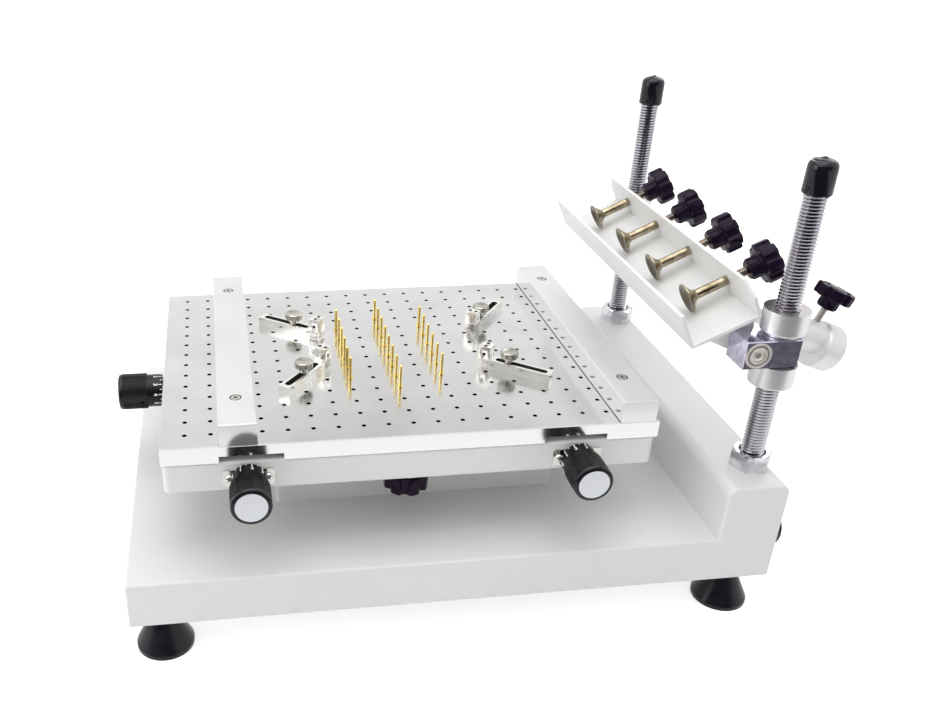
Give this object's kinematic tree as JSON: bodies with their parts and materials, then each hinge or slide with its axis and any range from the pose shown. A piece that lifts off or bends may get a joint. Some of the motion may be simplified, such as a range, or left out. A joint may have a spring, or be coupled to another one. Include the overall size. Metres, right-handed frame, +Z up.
{
  "type": "solder paste stencil printer",
  "caption": "Manual stencil printer: a finely adjustable perforated worktable with pins and clamps, and a raised tilting channel that grips a stencil frame.",
  "frame": {"origin": "at bench height under the middle of the whole outline", "axes": "+X along the base from the worktable to the rods, +Y away from the operator, +Z up"},
  "size_m": [0.4622, 0.2818, 0.2938],
  "materials": {
    "powder_white": "satin",
    "satin_aluminium": "satin",
    "bright_steel": "bright",
    "zinc_rod": "satin",
    "nickel": "bright",
    "black_plastic": "matt",
    "black_rubber": "matt",
    "brass": "bright",
    "dial_silver": "spun"
  },
  "bodies": {
    "base": {"base_body": "powder_white", "base_cover": "powder_white", "side_plug": "black_rubber", "pedestal": "powder_white", "slide_bed": "satin_aluminium", "near_rod": "zinc_rod", "far_rod": "zinc_rod", "rod_base_nuts": "bright_steel", "rod_caps": "black_rubber"},
    "y_carriage": {"y_carriage": "satin_aluminium"},
    "x_carriage": {"x_carriage": "satin_aluminium"},
    "table": {"tray": "powder_white", "perforated_plate": "satin_aluminium", "left_bar": "satin_aluminium", "right_bar": "satin_aluminium", "bar_screws": "bright_steel", "dial_flanges": "nickel", "flange_screws": "bright_steel", "locating_pins": "brass"},
    "table_lock": {"lock_knob": "black_plastic", "lock_washer": "bright_steel"},
    "lift": {"near_hinge_block": "bright_steel", "far_hinge_block": "bright_steel", "hinge_bearings": "bright_steel"},
    "channel": {"clamp_channel": "powder_white", "pivot_pins": "bright_steel", "balance_arm": "bright_steel"},
    "balance_weight": {"balance_weight": "bright_steel"},
    "weight_knob": {"weight_knob": "black_plastic"},
    "foot_near_left": {"foot_near_left": "black_plastic"},
    "foot_near_right": {"foot_near_right": "black_plastic"},
    "foot_far_left": {"foot_far_left": "black_plastic"},
    "foot_far_right": {"foot_far_right": "black_plastic"},
    "dial_front_left": {"dial_knob_front_left": "black_plastic", "dial_face_front_left": "dial_silver"},
    "dial_front_right": {"dial_knob_front_right": "black_plastic", "dial_face_front_right": "dial_silver"},
    "dial_left": {"dial_knob_left": "black_plastic", "dial_face_left": "dial_silver"},
    "thumb_screw_near_left": {"thumb_screw_near_left": "nickel"},
    "corner_clamp_near_left": {"corner_clamp_near_left": "nickel"},
    "thumb_screw_far_left": {"thumb_screw_far_left": "nickel"},
    "corner_clamp_far_left": {"corner_clamp_far_left": "nickel"},
    "thumb_screw_near_right": {"thumb_screw_near_right": "nickel"},
    "corner_clamp_near_right": {"corner_clamp_near_right": "nickel"},
    "thumb_screw_far_right": {"thumb_screw_far_right": "nickel"},
    "corner_clamp_far_right": {"corner_clamp_far_right": "nickel"},
    "near_upper_nut": {"near_upper_nut": "bright_steel"},
    "near_lower_nut": {"near_lower_nut": "bright_steel"},
    "far_upper_nut": {"far_upper_nut": "bright_steel"},
    "far_lower_nut": {"far_lower_nut": "bright_steel"},
    "clamp_screw_1": {"clamp_screw_1": "nickel"},
    "clamp_knob_1": {"clamp_knob_1": "black_plastic"},
    "clamp_screw_2": {"clamp_screw_2": "nickel"},
    "clamp_knob_2": {"clamp_knob_2": "black_plastic"},
    "clamp_screw_3": {"clamp_screw_3": "nickel"},
    "clamp_knob_3": {"clamp_knob_3": "black_plastic"},
    "clamp_screw_4": {"clamp_screw_4": "nickel"},
    "clamp_knob_4": {"clamp_knob_4": "black_plastic"}
  },
  "joints": [
    {"name": "foot_near_left_turn", "type": "hinge", "parent": "base", "child": "foot_near_left", "pos_m": [-0.20533, -0.1171, 0], "axis": [0, 0, 1], "continuous": true},
    {"name": "foot_near_right_turn", "type": "hinge", "parent": "base", "child": "foot_near_right", "pos_m": [0.15867, -0.1171, 0], "axis": [0, 0, 1], "continuous": true},
    {"name": "foot_far_left_turn", "type": "hinge", "parent": "base", "child": "foot_far_left", "pos_m": [-0.20533, 0.1219, 0], "axis": [0, 0, 1], "continuous": true},
    {"name": "foot_far_right_turn", "type": "hinge", "parent": "base", "child": "foot_far_right", "pos_m": [0.15867, 0.1219, 0], "axis": [0, 0, 1], "continuous": true},
    {"name": "table_y_slide", "type": "slide", "parent": "base", "child": "y_carriage", "axis": [0, 1, 0], "range_m": [-0.006, 0.006]},
    {"name": "table_x_slide", "type": "slide", "parent": "y_carriage", "child": "x_carriage", "axis": [1, 0, 0], "range_m": [-0.005, 0.005]},
    {"name": "table_yaw", "type": "hinge", "parent": "x_carriage", "child": "table", "pos_m": [-0.05103, 0.0024, 0.134], "axis": [0, 0, 1], "range_deg": [-1.5, 1.5]},
    {"name": "dial_front_left_turn", "type": "hinge", "parent": "table", "child": "dial_front_left", "pos_m": [-0.15003, -0.1291, 0.1125], "axis": [0, 1, 0], "range_deg": [-2160, 2160]},
    {"name": "dial_front_right_turn", "type": "hinge", "parent": "table", "child": "dial_front_right", "pos_m": [0.04797, -0.1291, 0.1125], "axis": [0, 1, 0], "range_deg": [-2160, 2160]},
    {"name": "dial_left_turn", "type": "hinge", "parent": "table", "child": "dial_left", "pos_m": [-0.21933, 0.0024, 0.1125], "axis": [1, 0, 0], "range_deg": [-1800, 1800]},
    {"name": "table_lock_turn", "type": "hinge", "parent": "table", "child": "table_lock", "pos_m": [-0.05183, -0.0851, 0.1], "axis": [0, 0, 1], "range_deg": [-540, 0]},
    {"name": "thumb_screw_near_left_turn", "type": "hinge", "parent": "table", "child": "thumb_screw_near_left", "pos_m": [-0.11083, -0.0351, 0.134], "axis": [0, 0, 1], "range_deg": [-12, 12]},
    {"name": "corner_clamp_near_left_slide", "type": "slide", "parent": "thumb_screw_near_left", "child": "corner_clamp_near_left", "axis": [0.6157, 0.788, 0], "range_m": [-0.004, 0.004]},
    {"name": "thumb_screw_far_left_turn", "type": "hinge", "parent": "table", "child": "thumb_screw_far_left", "pos_m": [-0.11083, 0.0399, 0.134], "axis": [0, 0, 1], "range_deg": [-12, 12]},
    {"name": "corner_clamp_far_left_slide", "type": "slide", "parent": "thumb_screw_far_left", "child": "corner_clamp_far_left", "axis": [0.7986, -0.6018, 0], "range_m": [-0.004, 0.004]},
    {"name": "thumb_screw_near_right_turn", "type": "hinge", "parent": "table", "child": "thumb_screw_near_right", "pos_m": [0.02417, -0.0351, 0.134], "axis": [0, 0, 1], "range_deg": [-12, 12]},
    {"name": "corner_clamp_near_right_slide", "type": "slide", "parent": "thumb_screw_near_right", "child": "corner_clamp_near_right", "axis": [-0.788, 0.6157, 0], "range_m": [-0.004, 0.004]},
    {"name": "thumb_screw_far_right_turn", "type": "hinge", "parent": "table", "child": "thumb_screw_far_right", "pos_m": [0.02417, 0.0399, 0.134], "axis": [0, 0, 1], "range_deg": [-12, 12]},
    {"name": "corner_clamp_far_right_slide", "type": "slide", "parent": "thumb_screw_far_right", "child": "corner_clamp_far_right", "axis": [-0.6157, -0.788, 0], "range_m": [-0.003, 0.004]},
    {"name": "lift_slide", "type": "slide", "parent": "base", "child": "lift", "axis": [0, 0, 1], "range_m": [-0.035, 0.05]},
    {"name": "near_upper_nut_turn", "type": "hinge", "parent": "lift", "child": "near_upper_nut", "pos_m": [0.16317, -0.1096, 0.1972], "axis": [0, 0, 1], "range_deg": [-6300, 9000]},
    {"name": "near_lower_nut_turn", "type": "hinge", "parent": "lift", "child": "near_lower_nut", "pos_m": [0.16317, -0.1096, 0.1634], "axis": [0, 0, 1], "range_deg": [-6300, 9000]},
    {"name": "far_upper_nut_turn", "type": "hinge", "parent": "lift", "child": "far_upper_nut", "pos_m": [0.16317, 0.1144, 0.1972], "axis": [0, 0, 1], "range_deg": [-6300, 9000]},
    {"name": "far_lower_nut_turn", "type": "hinge", "parent": "lift", "child": "far_lower_nut", "pos_m": [0.16317, 0.1144, 0.1634], "axis": [0, 0, 1], "range_deg": [-6300, 9000]},
    {"name": "channel_tilt", "type": "hinge", "parent": "lift", "child": "channel", "pos_m": [0.14547, 0.0024, 0.1803], "axis": [0, 1, 0], "range_deg": [-64.6, 0]},
    {"name": "clamp_screw_1_slide", "type": "slide", "parent": "channel", "child": "clamp_screw_1", "axis": [0.9033, 0, 0.4289], "range_m": [-0.007, 0.008]},
    {"name": "clamp_knob_1_turn", "type": "hinge", "parent": "clamp_screw_1", "child": "clamp_knob_1", "pos_m": [0.15979, -0.07485, 0.21776], "axis": [0.9033, 0, 0.4289], "range_deg": [-2520, 2880]},
    {"name": "clamp_screw_2_slide", "type": "slide", "parent": "channel", "child": "clamp_screw_2", "axis": [0.9033, 0, 0.4289], "range_m": [-0.007, 0.008]},
    {"name": "clamp_knob_2_turn", "type": "hinge", "parent": "clamp_screw_2", "child": "clamp_knob_2", "pos_m": [0.15979, -0.02335, 0.21776], "axis": [0.9033, 0, 0.4289], "range_deg": [-2520, 2880]},
    {"name": "clamp_screw_3_slide", "type": "slide", "parent": "channel", "child": "clamp_screw_3", "axis": [0.9033, 0, 0.4289], "range_m": [-0.007, 0.008]},
    {"name": "clamp_knob_3_turn", "type": "hinge", "parent": "clamp_screw_3", "child": "clamp_knob_3", "pos_m": [0.15979, 0.02815, 0.21776], "axis": [0.9033, 0, 0.4289], "range_deg": [-2520, 2880]},
    {"name": "clamp_screw_4_slide", "type": "slide", "parent": "channel", "child": "clamp_screw_4", "axis": [0.9033, 0, 0.4289], "range_m": [-0.007, 0.008]},
    {"name": "clamp_knob_4_turn", "type": "hinge", "parent": "clamp_screw_4", "child": "clamp_knob_4", "pos_m": [0.15979, 0.07965, 0.21776], "axis": [0.9033, 0, 0.4289], "range_deg": [-2520, 2880]},
    {"name": "balance_weight_slide", "type": "slide", "parent": "channel", "child": "balance_weight", "axis": [0.9272, 0, -0.3746], "range_m": [-0.012, 0.008]},
    {"name": "weight_knob_turn", "type": "hinge", "parent": "balance_weight", "child": "weight_knob", "pos_m": [0.20768, -0.0711, 0.16811], "axis": [0.3746, 0, 0.9272], "range_deg": [0, 720]}
  ],
  "couplings": [
    {"joint": "dial_front_left_turn", "follows": "table_y_slide", "rad_per_m": 6283.2},
    {"joint": "dial_front_right_turn", "follows": "table_y_slide", "rad_per_m": 6283.2},
    {"joint": "dial_left_turn", "follows": "table_x_slide", "rad_per_m": 6283.2},
    {"joint": "near_upper_nut_turn", "follows": "lift_slide", "rad_per_m": 3141.6},
    {"joint": "near_lower_nut_turn", "follows": "lift_slide", "rad_per_m": 3141.6},
    {"joint": "far_upper_nut_turn", "follows": "lift_slide", "rad_per_m": 3141.6},
    {"joint": "far_lower_nut_turn", "follows": "lift_slide", "rad_per_m": 3141.6},
    {"joint": "clamp_knob_1_turn", "follows": "clamp_screw_1_slide", "rad_per_m": 6283.2},
    {"joint": "clamp_knob_2_turn", "follows": "clamp_screw_2_slide", "rad_per_m": 6283.2},
    {"joint": "clamp_knob_3_turn", "follows": "clamp_screw_3_slide", "rad_per_m": 6283.2},
    {"joint": "clamp_knob_4_turn", "follows": "clamp_screw_4_slide", "rad_per_m": 6283.2}
  ]
}
